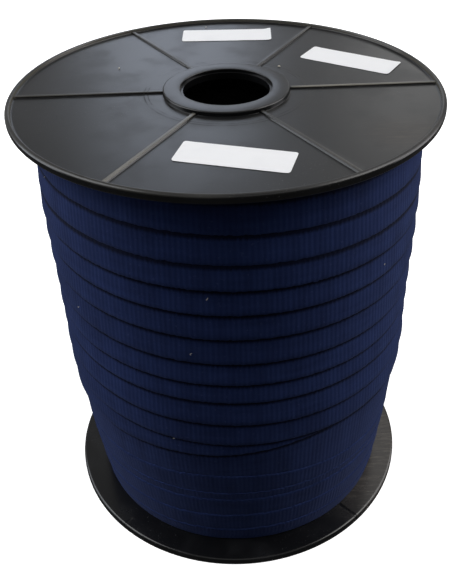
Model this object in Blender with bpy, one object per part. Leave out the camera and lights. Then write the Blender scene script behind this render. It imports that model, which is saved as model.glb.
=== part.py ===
"""Roll of ribbed binding tape on a black plastic spool, standing on its lower flange.

Metres, +Z up. The origin is the centre of the underside, and the photograph looks along +Y.
"""

import math
from collections import namedtuple

import bmesh
import bpy
import numpy as np

# Spool
FLANGE_RADIUS = 0.100
SPOOL_HEIGHT = 0.2325
GAP = 0.0003
SEGMENTS = 60
SHARP_ANGLE = math.radians(35)

# Flange section, with depths measured inward from the flat of the rim
FLANGE_DEPTH = 0.0036
FACE_DEPTH = 0.0022
RIM_WALL = 0.0030
RIM_ROUND = 0.0012
EDGE_ROUND_WIDTH = 0.0042
EDGE_ROUND_DEPTH = 0.0016
COLLAR_RADIUS = 0.0294
COLLAR_CHAMFER = 0.0004
TOP_COLLAR_PROUD = 0.0009
BORE_RADIUS = 0.0213
LEDGE_RADIUS = 0.0202
LEDGE_DROP = 0.0015
SPIGOT_WALL = 0.0025
SPIGOT_LENGTH = 0.0100

# Six ribs on the outward face of each flange
RIB_COUNT = 6
RIB_START = math.radians(0.9)
RIB_WIDTH = 0.0018
RIB_DEPTH = 0.0006
RIB_SINK = 0.0005
RIB_OVERLAP = 0.0012

# Core tube
CORE_RADIUS = 0.0375
CORE_WALL = 0.0025

# Tape
TAPE_THICKNESS = 0.0011
EDGE_SOFTNESS = 0.0004
WINDING_RADIUS = 0.0919
WINDING_OFFSET = 0.0008
MIDDLE_SHARE = 0.6
PROUD_SHARE = 0.6
FRONT = -90.0
COLUMNS = 60

# Lower edges of the upper turns, as they pass the front, from the top down. The first is hidden by
# the flange and the last two run on below the lowest edge, where they are cut off.
UpperTurn = namedtuple("UpperTurn", "edge_z swell")
UPPER_TURNS = [
    UpperTurn(edge_z=0.2385, swell=0.0000),
    UpperTurn(edge_z=0.2247, swell=-0.0002),
    UpperTurn(edge_z=0.2103, swell=0.0000),
    UpperTurn(edge_z=0.1966, swell=0.0001),
    UpperTurn(edge_z=0.1842, swell=-0.0001),
    UpperTurn(edge_z=0.1716, swell=0.0002),
    UpperTurn(edge_z=0.1583, swell=0.0001),
    UpperTurn(edge_z=0.1439, swell=0.0000),
    UpperTurn(edge_z=0.1312, swell=0.0002),
    UpperTurn(edge_z=0.1199, swell=0.0000),
    UpperTurn(edge_z=0.1056, swell=0.0001),
    UpperTurn(edge_z=0.0916, swell=0.0000),
    UpperTurn(edge_z=0.0760, swell=0.0000),
    UpperTurn(edge_z=0.0600, swell=0.0000),
]

# The lowest edge, where the winding turned back up, goes round the roll at an uneven height
LowestEdge = namedtuple("LowestEdge", "angle z")
LOWEST_EDGE = [
    LowestEdge(angle=-155.0, z=0.0820),
    LowestEdge(angle=-130.0, z=0.0800),
    LowestEdge(angle=-110.0, z=0.0812),
    LowestEdge(angle=-90.0, z=0.0846),
    LowestEdge(angle=-65.0, z=0.0873),
    LowestEdge(angle=-40.0, z=0.0850),
    LowestEdge(angle=-20.0, z=0.0823),
    LowestEdge(angle=30.0, z=0.0815),
    LowestEdge(angle=100.0, z=0.0825),
    LowestEdge(angle=160.0, z=0.0830),
]

# Upper edges of the lower turns as they pass the front, from the base up, and how far each stands
# proud. The first two are below the base and the last two pass under the upper turns.
LowerTurn = namedtuple("LowerTurn", "edge_z proud")
LOWER_TURNS = [
    LowerTurn(edge_z=-0.0210, proud=0.0008),
    LowerTurn(edge_z=-0.0070, proud=0.0008),
    LowerTurn(edge_z=0.0070, proud=0.0008),
    LowerTurn(edge_z=0.0205, proud=0.0008),
    LowerTurn(edge_z=0.0345, proud=0.0008),
    LowerTurn(edge_z=0.0485, proud=0.0008),
    LowerTurn(edge_z=0.0532, proud=0.0005),
    LowerTurn(edge_z=0.0720, proud=0.0000),
    LowerTurn(edge_z=0.1100, proud=0.0000),
]

# The lower turns draw in towards the base
LowerGirth = namedtuple("LowerGirth", "z radius")
LOWER_GIRTH = [
    LowerGirth(z=0.0035, radius=0.0858),
    LowerGirth(z=0.0200, radius=0.0876),
    LowerGirth(z=0.0350, radius=0.0889),
    LowerGirth(z=0.0530, radius=0.0901),
    LowerGirth(z=0.0700, radius=0.0910),
    LowerGirth(z=0.0900, radius=0.0915),
]

# Paper stickers on the top face: centre and turn of the long side
Sticker = namedtuple("Sticker", "name x y turn")
STICKERS = [
    Sticker(name="label_near", x=0.0025, y=-0.0648, turn=-16.5),
    Sticker(name="label_far", x=0.0013, y=0.0790, turn=-1.5),
    Sticker(name="label_right", x=0.0628, y=0.0365, turn=-32.7),
]
STICKER_LENGTH = 0.0478
STICKER_WIDTH = 0.0176
STICKER_THICKNESS = 0.0003
STICKER_CORNER = 0.0015
CORNER_STEPS = 3


def clear_scene():
    for item in list(bpy.data.objects):
        bpy.data.objects.remove(item, do_unlink=True)


def make_material(name, color, roughness, metallic=0.0):
    material = bpy.data.materials.new(name)
    material.use_nodes = True
    shader = material.node_tree.nodes["Principled BSDF"]
    shader.inputs["Base Color"].default_value = (*color, 1.0)
    shader.inputs["Roughness"].default_value = roughness
    shader.inputs["Metallic"].default_value = metallic
    material.diffuse_color = (*color, 1.0)
    return material


def add_object(name, mesh, material):
    mesh.materials.append(material)
    mesh.shade_smooth()
    mesh.set_sharp_from_angle(angle=SHARP_ANGLE)
    item = bpy.data.objects.new(name, mesh)
    bpy.context.collection.objects.link(item)
    return item


def mesh_from_bmesh(name, bm):
    bmesh.ops.recalc_face_normals(bm, faces=bm.faces)
    mesh = bpy.data.meshes.new(name)
    bm.to_mesh(mesh)
    bm.free()
    return mesh


def turned_mesh(name, section):
    """Turns a closed section of (radius, height) points about the Z axis."""
    bm = bmesh.new()
    points = [bm.verts.new((radius, 0.0, height)) for radius, height in section]
    edges = [bm.edges.new((a, b)) for a, b in zip(points, points[1:] + points[:1])]
    bmesh.ops.spin(
        bm,
        geom=points + edges,
        axis=(0.0, 0.0, 1.0),
        cent=(0.0, 0.0, 0.0),
        angle=2.0 * math.pi,
        steps=SEGMENTS,
        use_merge=True,
    )
    bmesh.ops.remove_doubles(bm, verts=bm.verts, dist=1e-6)
    return mesh_from_bmesh(name, bm)


def arc(center, size, start, end, steps):
    """Points of an elliptical arc in a section, angles in degrees."""
    turns = [math.radians(start + (end - start) * step / steps) for step in range(steps + 1)]
    return [
        (center[0] + size[0] * math.cos(turn), center[1] + size[1] * math.sin(turn))
        for turn in turns
    ]


def flange_section(collar_depth):
    """The flange's half section as (radius, depth), depth growing towards the tape."""
    rim_inner = FLANGE_RADIUS - RIM_WALL
    spigot_radius = CORE_RADIUS - CORE_WALL - GAP
    collar = [
        (BORE_RADIUS, collar_depth + COLLAR_CHAMFER),
        (BORE_RADIUS + COLLAR_CHAMFER, collar_depth),
        (COLLAR_RADIUS - COLLAR_CHAMFER, collar_depth),
        (COLLAR_RADIUS, collar_depth + COLLAR_CHAMFER),
        (COLLAR_RADIUS, FACE_DEPTH),
        (rim_inner, FACE_DEPTH),
    ]
    rim_round = (RIM_ROUND, RIM_ROUND)
    rim = arc((rim_inner + RIM_ROUND, RIM_ROUND), rim_round, 180.0, 270.0, 2)
    rim += arc((FLANGE_RADIUS - RIM_ROUND, RIM_ROUND), rim_round, -90.0, 0.0, 2)
    edge_center = (FLANGE_RADIUS - EDGE_ROUND_WIDTH, FLANGE_DEPTH - EDGE_ROUND_DEPTH)
    edge = arc(edge_center, (EDGE_ROUND_WIDTH, EDGE_ROUND_DEPTH), 0.0, 90.0, 3)
    tape_side = [
        (spigot_radius, FLANGE_DEPTH),
        (spigot_radius, FLANGE_DEPTH + SPIGOT_LENGTH),
        (spigot_radius - SPIGOT_WALL, FLANGE_DEPTH + SPIGOT_LENGTH),
        (spigot_radius - SPIGOT_WALL, FLANGE_DEPTH),
        (LEDGE_RADIUS, FLANGE_DEPTH),
        (LEDGE_RADIUS, collar_depth + LEDGE_DROP),
        (BORE_RADIUS, collar_depth + LEDGE_DROP),
    ]
    return collar + rim + edge + tape_side


def rib_mesh(name, angle, height_at):
    """A straight rib from inside the collar to inside the rim, its foot sunk in the face."""
    start = COLLAR_RADIUS - RIB_OVERLAP
    end = FLANGE_RADIUS - RIM_WALL + RIB_OVERLAP
    low, high = sorted((height_at(RIB_DEPTH), height_at(FACE_DEPTH + RIB_SINK)))
    bm = bmesh.new()
    bmesh.ops.create_cube(bm, size=1.0)
    for vert in bm.verts:
        along = start + (vert.co.x + 0.5) * (end - start)
        across = vert.co.y * RIB_WIDTH
        height = low + (vert.co.z + 0.5) * (high - low)
        x = along * math.cos(angle) - across * math.sin(angle)
        y = along * math.sin(angle) + across * math.cos(angle)
        vert.co = (x, y, height)
    return mesh_from_bmesh(name, bm)


def make_flange(name, height_at, collar_depth, material):
    section = [(radius, height_at(depth)) for radius, depth in flange_section(collar_depth)]
    flange = add_object(name, turned_mesh(name, section), material)
    for index in range(RIB_COUNT):
        angle = RIB_START + index * 2.0 * math.pi / RIB_COUNT
        rib_name = f"rib_guide_{name}_{index}"
        rib = add_object(rib_name, rib_mesh(rib_name, angle, height_at), material)
        rib.hide_render = True
        rib.display_type = "WIRE"
        union = flange.modifiers.new(rib_name, "BOOLEAN")
        union.operation = "UNION"
        union.solver = "EXACT"
        union.object = rib
    return flange


def make_core(material):
    low = FLANGE_DEPTH + GAP
    high = SPOOL_HEIGHT - FLANGE_DEPTH - GAP
    inner = CORE_RADIUS - CORE_WALL
    section = [(inner, low), (CORE_RADIUS, low), (CORE_RADIUS, high), (inner, high)]
    return add_object("core", turned_mesh("core", section), material)


def smooth_between(x, xs, ys):
    """A smooth curve through the points (xs, ys), with the slope of its neighbours at each."""
    slopes = np.gradient(ys, xs)
    index = int(np.clip(np.searchsorted(xs, x) - 1, 0, len(xs) - 2))
    span = xs[index + 1] - xs[index]
    t = (x - xs[index]) / span
    start = (1 + 2 * t) * (1 - t) ** 2 * ys[index] + t * (1 - t) ** 2 * span * slopes[index]
    end = t * t * (3 - 2 * t) * ys[index + 1] - t * t * (1 - t) * span * slopes[index + 1]
    return float(start + end)


def lowest_edge_z(angle):
    xs = [point.angle + turn for turn in (-360.0, 0.0, 360.0) for point in LOWEST_EDGE]
    ys = [point.z for _ in range(3) for point in LOWEST_EDGE]
    first = LOWEST_EDGE[0].angle
    return smooth_between((angle - first) % 360.0 + first, np.array(xs), np.array(ys))


def lean(angle):
    """The winding is a little fuller on its right side."""
    return WINDING_OFFSET * math.cos(math.radians(angle))


def upper_rows(turn_angle):
    """The points of one upper turn, bottom to top, as (height, radius), at an unwound angle."""
    turns = np.arange(len(UPPER_TURNS)) * 360.0 + FRONT
    heights = np.array([turn.edge_z for turn in UPPER_TURNS])
    swells = np.array([turn.swell for turn in UPPER_TURNS])
    edge = smooth_between(turn_angle, turns, heights)
    above = smooth_between(max(turn_angle - 360.0, turns[0]), turns, heights)
    radius = WINDING_RADIUS + lean(turn_angle) + smooth_between(turn_angle, turns, swells)
    return [
        (edge, radius),
        (edge + EDGE_SOFTNESS, radius + TAPE_THICKNESS),
        (0.5 * (edge + above), radius + MIDDLE_SHARE * TAPE_THICKNESS),
    ]


def lower_rows(turn_angle):
    """The points of one lower turn, bottom to top, as (height, radius), at an unwound angle."""
    turns = np.arange(len(LOWER_TURNS)) * 360.0 + FRONT
    heights = np.array([turn.edge_z for turn in LOWER_TURNS])
    prouds = np.array([turn.proud for turn in LOWER_TURNS])
    edge = smooth_between(turn_angle, turns, heights)
    above = smooth_between(min(turn_angle + 360.0, turns[-1]), turns, heights)
    proud = smooth_between(turn_angle, turns, prouds)
    girth_z = [row.z for row in LOWER_GIRTH]
    girth_radius = [row.radius for row in LOWER_GIRTH]
    radius = float(np.interp(edge, girth_z, girth_radius)) + lean(turn_angle)
    middle = 0.5 * (edge + above)
    middle_radius = float(np.interp(middle, girth_z, girth_radius)) + lean(turn_angle)
    return [
        (edge - EDGE_SOFTNESS, radius + PROUD_SHARE * proud),
        (edge, radius - (1.0 - PROUD_SHARE) * proud),
        (middle, middle_radius),
    ]


def clipped(chain, low, high):
    """Slides the points that lie outside low and high along the chain to where it crosses them."""
    heights = np.array([point[0] for point in chain])
    radii = np.array([point[1] for point in chain])
    order = np.argsort(heights, kind="stable")
    inside = np.clip(heights, low, high)
    crossing = np.interp(inside, heights[order], radii[order])
    return [
        (float(z), float(crossing[i]) if z != heights[i] else float(radii[i]))
        for i, z in enumerate(inside)
    ]


def helix_strip(rows_at, turn_count, rises, low_at, high_at):
    """A helical grid of the turns, cut off at low_at and high_at of the angle.

    Returns the (angle index, height, radius) of each vertex and the quads between them.
    """
    step = 360.0 / COLUMNS
    rows = len(rows_at(FRONT))
    points = {}
    for column in range(COLUMNS):
        chain = []
        keys = []
        for turn in range(turn_count):
            unwound = FRONT + column * step + 360.0 * turn
            for row, point in enumerate(rows_at(unwound)):
                chain.append(point)
                keys.append((turn * COLUMNS + column, row))
        angle = FRONT + column * step
        for key, point in zip(keys, clipped(chain, low_at(angle), high_at(angle))):
            points[key] = (column, *point)
    next_turn = COLUMNS if rises else -COLUMNS
    quads = []
    for place in range(turn_count * COLUMNS - 1):
        for row in range(rows):
            above = (place, row + 1) if row + 1 < rows else (place + next_turn, 0)
            above_right = (place + 1, row + 1) if row + 1 < rows else (place + 1 + next_turn, 0)
            corners = [(place, row), (place + 1, row), above_right, above]
            if all(corner in points for corner in corners):
                quads.append(corners)
    return points, quads


def make_winding(material):
    """The wound tape: helical steps outside, flat ends and a plain bore."""
    top = SPOOL_HEIGHT - FLANGE_DEPTH - GAP
    base = FLANGE_DEPTH + GAP
    inner = CORE_RADIUS + GAP
    step = 360.0 / COLUMNS
    bm = bmesh.new()

    def add_vert(column, z, radius):
        angle = math.radians(FRONT + (column % COLUMNS) * step)
        return bm.verts.new((radius * math.cos(angle), radius * math.sin(angle), z))

    def add_strip(points, quads):
        verts = {key: add_vert(*point) for key, point in points.items()}
        for corners in quads:
            bm.faces.new([verts[corner] for corner in corners])

    def ends(points, pick):
        """The highest or lowest point of each column."""
        found = {}
        for column, z, radius in points.values():
            if column not in found or pick(z, found[column][0]) == z:
                found[column] = (z, radius)
        return [found[column] for column in range(COLUMNS)]

    upper, upper_quads = helix_strip(
        upper_rows, len(UPPER_TURNS) - 1, False, lowest_edge_z, lambda angle: top
    )
    lower, lower_quads = helix_strip(
        lower_rows, len(LOWER_TURNS) - 1, True, lambda angle: base,
        lambda angle: lowest_edge_z(angle) - EDGE_SOFTNESS,
    )
    add_strip(upper, upper_quads)
    add_strip(lower, lower_quads)

    bridges = [
        (ends(upper, min), ends(lower, max)),
        (ends(lower, min), [(base, inner)] * COLUMNS),
        ([(base, inner)] * COLUMNS, [(top, inner)] * COLUMNS),
        ([(top, inner)] * COLUMNS, ends(upper, max)),
    ]
    for first, second in bridges:
        for column in range(COLUMNS):
            right = (column + 1) % COLUMNS
            corners = [(column, *first[column]), (right, *first[right])]
            corners += [(right, *second[right]), (column, *second[column])]
            bm.faces.new([add_vert(*corner) for corner in corners])

    bmesh.ops.remove_doubles(bm, verts=bm.verts, dist=1e-6)
    bmesh.ops.dissolve_degenerate(bm, edges=bm.edges, dist=1e-6)
    return add_object("winding", mesh_from_bmesh("winding", bm), material)


def make_sticker(sticker, material):
    """A thin plate with rounded corners on the top flange's face."""
    low = SPOOL_HEIGHT - FACE_DEPTH + GAP
    turn = math.radians(sticker.turn)
    half_length = 0.5 * STICKER_LENGTH - STICKER_CORNER
    half_width = 0.5 * STICKER_WIDTH - STICKER_CORNER
    bm = bmesh.new()
    outline = []
    for quarter, (side_x, side_y) in enumerate(((1, 1), (-1, 1), (-1, -1), (1, -1))):
        for step in range(CORNER_STEPS + 1):
            around = math.radians(90.0 * (quarter + step / CORNER_STEPS))
            along = side_x * half_length + STICKER_CORNER * math.cos(around)
            across = side_y * half_width + STICKER_CORNER * math.sin(around)
            x = sticker.x + along * math.cos(turn) - across * math.sin(turn)
            y = sticker.y + along * math.sin(turn) + across * math.cos(turn)
            outline.append(bm.verts.new((x, y, low)))
    face = bm.faces.new(outline)
    raised = bmesh.ops.extrude_face_region(bm, geom=[face])
    lifted = [item for item in raised["geom"] if isinstance(item, bmesh.types.BMVert)]
    bmesh.ops.translate(bm, verts=lifted, vec=(0.0, 0.0, STICKER_THICKNESS))
    return add_object(sticker.name, mesh_from_bmesh(sticker.name, bm), material)


def main():
    clear_scene()
    plastic = make_material("spool_plastic", (0.012, 0.012, 0.013), 0.42)
    tube = make_material("core_plastic", (0.008, 0.008, 0.008), 0.60)
    tape = make_material("navy_tape", (0.006, 0.012, 0.045), 0.85)
    paper = make_material("sticker_paper", (0.80, 0.80, 0.80), 0.70)
    make_flange("flange_bottom", lambda depth: depth, 0.0, plastic)
    make_flange("flange_top", lambda depth: SPOOL_HEIGHT - depth, -TOP_COLLAR_PROUD, plastic)
    make_core(tube)
    make_winding(tape)
    for sticker in STICKERS:
        make_sticker(sticker, paper)


main()
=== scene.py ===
import math
from collections import namedtuple

import bmesh
import bpy
import numpy as np
from mathutils import Matrix, Vector


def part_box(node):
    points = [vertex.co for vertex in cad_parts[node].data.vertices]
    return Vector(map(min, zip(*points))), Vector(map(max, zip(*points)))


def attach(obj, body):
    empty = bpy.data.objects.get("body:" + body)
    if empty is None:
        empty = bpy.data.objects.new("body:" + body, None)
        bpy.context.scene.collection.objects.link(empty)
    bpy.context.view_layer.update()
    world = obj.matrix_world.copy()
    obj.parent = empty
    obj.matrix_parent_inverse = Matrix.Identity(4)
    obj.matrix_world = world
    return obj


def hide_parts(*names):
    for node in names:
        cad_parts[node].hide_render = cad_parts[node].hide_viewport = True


# A roll of ribbed navy binding tape on a black moulded spool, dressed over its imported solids.
# Metres, +Z up, the photograph looks along +Y.

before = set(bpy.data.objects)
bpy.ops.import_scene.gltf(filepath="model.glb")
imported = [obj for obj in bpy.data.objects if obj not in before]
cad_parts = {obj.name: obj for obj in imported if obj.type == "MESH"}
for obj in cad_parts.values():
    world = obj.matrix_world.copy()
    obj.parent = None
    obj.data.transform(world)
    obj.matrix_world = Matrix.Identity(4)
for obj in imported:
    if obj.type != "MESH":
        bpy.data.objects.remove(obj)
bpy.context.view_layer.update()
mm = 0.001
fullTurn = 2.0 * math.pi


# Sockets and trees

class Wire:  # one output socket, so that node maths reads as plain expressions
    def __init__(self, tree, socket):
        self.tree = tree
        self.socket = socket

    def __add__(self, other):
        return self.tree.maths("ADD", self, other)

    def __radd__(self, other):
        return self.tree.maths("ADD", other, self)

    def __sub__(self, other):
        return self.tree.maths("SUBTRACT", self, other)

    def __rsub__(self, other):
        return self.tree.maths("SUBTRACT", other, self)

    def __mul__(self, other):
        return self.tree.maths("MULTIPLY", self, other)

    def __rmul__(self, other):
        return self.tree.maths("MULTIPLY", other, self)

    def __truediv__(self, other):
        return self.tree.maths("DIVIDE", self, other)


class Tree:  # a node tree with one way to add a node
    def __init__(self, nodeTree):
        self.nodeTree = nodeTree
        self.placed = 0

    def node(self, kind, settings=None, inputs=None, output=0):
        item = self.nodeTree.nodes.new(kind)
        item.location = (self.placed % 12 * 200, -(self.placed // 12) * 260)
        self.placed += 1
        for key, value in (settings or {}).items():
            setattr(item, key, value)
        for key, value in (inputs or {}).items():
            if isinstance(value, Wire):
                self.nodeTree.links.new(value.socket, item.inputs[key])
            else:
                item.inputs[key].default_value = value
        return Wire(self, item.outputs[output]) if len(item.outputs) else None

    def maths(self, operation, first, second=0.0):
        return self.node("ShaderNodeMath", {"operation": operation}, {0: first, 1: second})

    def least(self, first, second):
        return self.maths("MINIMUM", first, second)

    def most(self, first, second):
        return self.maths("MAXIMUM", first, second)

    def clamp(self, value):
        return self.most(self.least(value, 1.0), 0.0)

    def cosine(self, value):
        return self.maths("COSINE", value)

    def sine(self, value):
        return self.maths("SINE", value)

    def size(self, value):
        return self.maths("ABSOLUTE", value)

    def step(self, value, low, high):  # 0 below low, 1 above high, smooth between
        settings = {"interpolation_type": "SMOOTHSTEP"}
        return self.node("ShaderNodeMapRange", settings, {0: value, 1: low, 2: high})

    def mixColor(self, factor, first, second, blend="MIX"):
        settings = {"data_type": "RGBA", "blend_type": blend}
        return self.node("ShaderNodeMix", settings, {0: factor, 6: first, 7: second}, 2)

    def split(self, vector, axis):
        return self.node("ShaderNodeSeparateXYZ", {}, {0: vector}, "XYZ".index(axis))

    def join(self, x, y, z):
        return self.node("ShaderNodeCombineXYZ", {}, {0: x, 1: y, 2: z})

    def scaled(self, vector, scale):  # a pattern stretched by scale along each axis
        return self.node("ShaderNodeVectorMath", {"operation": "MULTIPLY"}, {0: vector, 1: scale})

    def apart(self, first, second):  # the distance between two places
        inputs = {0: first, 1: second}
        return self.node("ShaderNodeVectorMath", {"operation": "DISTANCE"}, inputs, 1)

    def length(self, vector):
        return self.node("ShaderNodeVectorMath", {"operation": "LENGTH"}, {0: vector}, 1)

    def noise(self, vector, scale, detail=3.0, roughness=0.5):
        inputs = {"Vector": vector, "Scale": scale, "Detail": detail, "Roughness": roughness}
        return self.node("ShaderNodeTexNoise", {}, inputs)

    def bump(self, height, distance, strength=1.0, under=None):
        inputs = {"Strength": strength, "Distance": distance, "Height": height}
        if under is not None:
            inputs["Normal"] = under
        return self.node("ShaderNodeBump", {}, inputs)


def newMaterial(name, build):
    material = bpy.data.materials.new(name)
    material.use_nodes = True
    material.node_tree.nodes.clear()
    tree = Tree(material.node_tree)
    shader = build(tree)
    tree.node("ShaderNodeOutputMaterial", {}, {"Surface": shader})
    return material


def principled(tree, inputs):
    return tree.node("ShaderNodeBsdfPrincipled", {}, inputs)


# Materials

plasticLook = {
    "color": (0.0040, 0.0041, 0.0045, 1.0),
    "dusty": (0.012, 0.0125, 0.014, 1.0),
    "dust": (0.25, 0.25, 0.25, 1.0),
    # pale patch painted on the top face as a reflection
    "faceSheen": (0.110, 0.096, 0.084, 1.0),
    "ribTop": (0.215, 0.202, 0.170, 1.0),
    # warm sheen painted on the base's face as a reflection
    "baseSheen": (0.082, 0.072, 0.062, 1.0),
    "crack": (0.001, 0.001, 0.001, 1.0),
    "roughness": 0.33,
    "baseGloss": 0.11,
    "wallGloss": 0.13,
    "rimWallTint": 0.40,
    "grain": 0.020 * mm,
    "waves": 0.100 * mm,
    "faceSheenPlace": (0.075, -0.050, 0.230),
    "faceSheenReach": 0.025,
    "baseSheenPlace": (0.088, -0.030, 0.0),
    "baseSheenReach": 0.062,
    "mouldRings": (0.0380, 0.0362),
    "ringWidth": 0.35 * mm,
    "crackDepth": 0.3 * mm,
    "crackWander": 1.6 * mm,
    "crackFade": 2.0 * mm,
}

# Each mask goes from 0 at the first value to 1 at the second: heights, radii, places, or how far the
# surface faces up or down
plasticMasks = {
    "base": (0.020, 0.010),
    "ribBand": (0.23165, 0.23200),
    "pastHub": (0.0297, 0.0302),
    "atRim": (0.0965, 0.0985),
    "wallFrom": (0.0962, 0.0972),
    "wallTo": (0.0988, 0.0982),
    "upright": (0.75, 0.30),
    "leftHalf": (0.005, -0.015),
    "nearHalf": (0.0, -0.020),
    "rightSide": (0.020, 0.040),
    "rightFrom": (-0.030, -0.015),
    "rightTo": (0.035, 0.020),
}

# Hairline cracks in the base, each from a radius out to the edge
Crack = namedtuple("Crack", "angle start width strength")
cracks = [Crack(-48.1, 0.0850, 1.20 * mm, 1.0), Crack(-133.0, 0.0930, 0.80 * mm, 0.7)]


def rubbedRibs(tree, x, y, height, radius, patchy):  # the ribs' tops, palest on the near left
    masks = plasticMasks
    nearLeft = tree.step(x, *masks["leftHalf"]) * tree.step(y, *masks["nearHalf"])
    right = tree.step(x, *masks["rightSide"]) * tree.step(y, *masks["rightFrom"])
    right = right * tree.step(y, *masks["rightTo"])
    inside = 1.0 - 0.85 * tree.step(radius, *masks["atRim"])
    rubbed = tree.clamp(0.18 + nearLeft + 0.6 * right) * (0.45 + 0.55 * patchy) * inside
    rubbed = rubbed * tree.step(radius, *masks["pastHub"])
    return tree.step(height, *masks["ribBand"]) * rubbed


def crackLines(tree, place, x, y):
    look = plasticLook
    wander = look["crackWander"] * (tree.noise(place, 260.0, 2.0) - 0.5)
    lines = 0.0
    for crack in cracks:
        turn = math.radians(crack.angle)
        aside = math.cos(turn) * y - math.sin(turn) * x + wander
        outward = math.cos(turn) * x + math.sin(turn) * y
        line = tree.step(tree.size(aside), crack.width, 0.45 * crack.width)
        line = crack.strength * line * tree.step(outward, crack.start, crack.start + look["crackFade"])
        lines = lines + line
    return lines


def plasticShader(tree):
    look, masks = plasticLook, plasticMasks
    place = tree.node("ShaderNodeTexCoord", {}, {}, "Object")
    x, y, height = [tree.split(place, axis) for axis in "XYZ"]
    radius = tree.length(tree.scaled(place, (1.0, 1.0, 0.0)))
    low = tree.step(height, *masks["base"])
    clouds = tree.noise(place, 38.0, 5.0, 0.62)
    patches = tree.noise(tree.scaled(place, (1.0, 1.0, 0.4)), 14.0, 3.0, 0.5)
    streaks = tree.noise(tree.scaled(place, (30.0, 260.0, 30.0)), 3.0, 4.0, 0.7)
    crossStreaks = tree.noise(tree.scaled(place, (240.0, 34.0, 30.0)), 3.0, 4.0, 0.7)
    specks = tree.noise(place, 1500.0, 1.0, 0.5)
    cloudy = tree.step(clouds, 0.46, 0.66)
    patchy = tree.step(patches, 0.40, 0.62)
    streaky = tree.step(streaks, 0.45, 0.70)
    scuffed = tree.step(streaks, 0.63, 0.72) * patchy
    scuffed = tree.clamp(scuffed + tree.step(crossStreaks, 0.65, 0.74) * cloudy)
    dust = tree.step(specks, 0.70, 0.80) * patchy
    # Painted reflection: a pale, brownish patch on the top face near the right rim, which is also made
    # rougher
    reach = look["faceSheenReach"]
    faceSheen = 1.0 - tree.step(tree.apart(place, look["faceSheenPlace"]), 0.2 * reach, reach)
    faceSheen = faceSheen * clouds * (0.4 + 0.8 * streaky)
    # Painted reflection: a warm, streaky sheen on the base's face towards its right, where light glances
    # off it
    reach = look["baseSheenReach"]
    baseSheenMask = tree.step(tree.apart(place, look["baseSheenPlace"]), reach, 0.3 * reach)
    baseSheenMask = low * baseSheenMask * (0.5 + 0.7 * streaky)
    rings = 0.0
    for ring in look["mouldRings"]:
        rings = rings + tree.step(tree.size(radius - ring), look["ringWidth"], 0.0)
    rings = rings * tree.step(clouds, 0.42, 0.56)
    crack = tree.clamp(low * crackLines(tree, place, x, y))
    facing = tree.split(tree.node("ShaderNodeNewGeometry", {}, {}, "Normal"), "Z")
    upright = tree.step(tree.size(facing), *masks["upright"])
    rimWall = tree.step(radius, *masks["wallFrom"]) * tree.step(radius, *masks["wallTo"]) * upright
    color = tree.mixColor(0.35 * cloudy, look["color"], look["dusty"])
    color = tree.mixColor(0.8 * faceSheen, color, look["faceSheen"])
    color = tree.mixColor(0.5 * dust, color, look["dust"])
    color = tree.mixColor(rubbedRibs(tree, x, y, height, radius, patchy), color, look["ribTop"])
    color = tree.mixColor(tree.clamp(baseSheenMask), color, look["baseSheen"])
    color = tree.mixColor(crack, color, look["crack"])
    # The rim's inner wall is made paler, a share of the way towards the ribs' tops' colour
    color = tree.mixColor(look["rimWallTint"] * rimWall * (1.0 - low), color, look["ribTop"])
    roughness = look["roughness"] + 0.07 * (patches - 0.5) + 0.06 * cloudy + 0.12 * scuffed
    roughness = roughness + 0.2 * faceSheen + 0.25 * rings - look["baseGloss"] * low
    roughness = roughness - look["wallGloss"] * upright * (1.0 - low)
    waves = tree.bump(tree.noise(place, 22.0, 1.0), look["waves"])
    grain = tree.bump(tree.noise(place, 900.0, 2.0), look["grain"], 0.5, waves)
    grain = tree.bump(1.0 - crack, look["crackDepth"], 1.0, grain)
    return principled(tree, {
        "Base Color": color, "Roughness": roughness, "Normal": grain, "IOR": 1.50,
    })


coreLook = {"color": (0.006, 0.006, 0.0065, 1.0), "rib": 1.2 * mm, "depth": 0.03 * mm}


def coreShader(tree):
    place = tree.node("ShaderNodeTexCoord", {}, {}, "Object")
    rings = tree.sine(tree.split(place, "Z") * (fullTurn / coreLook["rib"]))
    marks = tree.noise(place, 120.0, 3.0)
    normal = tree.bump(rings + marks, coreLook["depth"])
    return principled(tree, {
        "Base Color": coreLook["color"], "Roughness": 0.55 + 0.2 * marks, "Normal": normal,
    })


tapeLook = {
    "deep": (0.0080, 0.0170, 0.070, 1.0),
    "navy": (0.0240, 0.0450, 0.158, 1.0),
    "pale": (0.0520, 0.0760, 0.190, 1.0),
    # painted shadow: the dark blue painted just below each covering edge, where the turn above shades the
    # tape
    "paintedEdgeShadow": (0.0008, 0.0028, 0.017, 1.0),
    "sheen": 0.10,
    "sheenTint": (0.46, 0.50, 0.70, 1.0),
    "thread": 0.55 * mm,
    "weft": 0.39 * mm,
    "threadDepth": 0.05 * mm,
    "edgeShadowReach": 3.0 * mm,
    "edgeShadowStrength": 0.96,
    "fray": 2.2 * mm,
    "fluffDepth": 0.03 * mm,
}


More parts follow.
